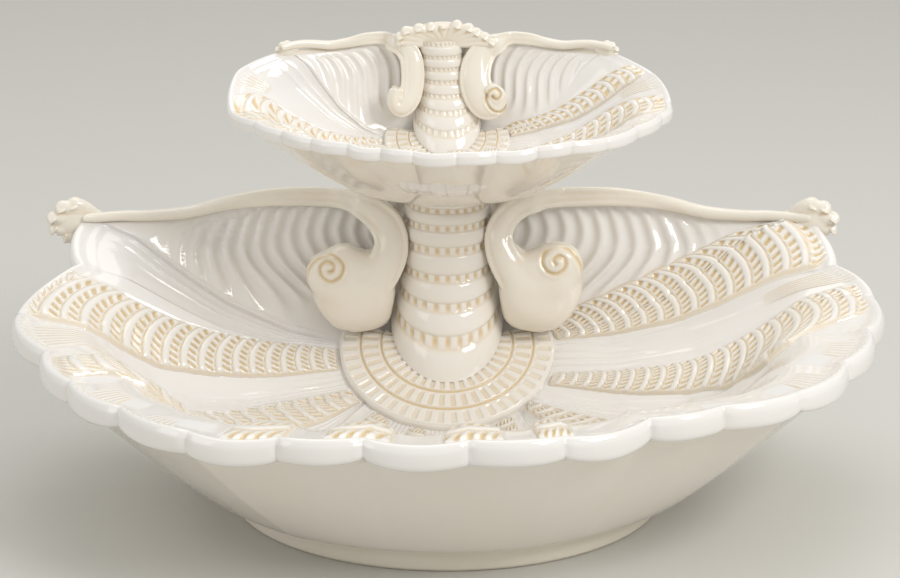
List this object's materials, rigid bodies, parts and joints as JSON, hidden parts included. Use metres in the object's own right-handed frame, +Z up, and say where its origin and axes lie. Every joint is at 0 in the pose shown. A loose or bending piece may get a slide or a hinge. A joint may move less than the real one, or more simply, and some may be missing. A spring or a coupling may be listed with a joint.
{
  "type": "two-tier server",
  "caption": "Two-tier ivory glazed ceramic server: a wide scalloped shell dish on an oval foot, with a beaded column that carries a smaller shell dish.",
  "frame": {"origin": "under the middle of the overall box, on the surface that the server stands on", "axes": "+X towards the right-hand ears as seen from the front, +Y towards the raised back rail, +Z up"},
  "size_m": [0.4662, 0.303, 0.24],
  "materials": {
    "glaze": "gloss",
    "glaze_washed": "gloss"
  },
  "bodies": {
    "lower_tier": {"foot_ring": "glaze", "lower_dish": "glaze", "lower_fan": "glaze_washed", "lower_column": "glaze_washed", "lower_scroll_left": "glaze_washed", "lower_scroll_right": "glaze_washed", "lower_ear_left": "glaze_washed", "lower_ear_right": "glaze_washed"},
    "upper_tier": {"upper_dish": "glaze", "upper_fan": "glaze_washed", "upper_column": "glaze_washed", "upper_scroll_left": "glaze_washed", "upper_scroll_right": "glaze_washed", "upper_ear_left": "glaze_washed", "upper_ear_right": "glaze_washed", "upper_crest": "glaze_washed"}
  },
  "joints": [
    {"name": "upper_tier_lift", "type": "slide", "parent": "lower_tier", "child": "upper_tier", "axis": [0, 0, 1], "range_m": [0, 0.1]}
  ]
}
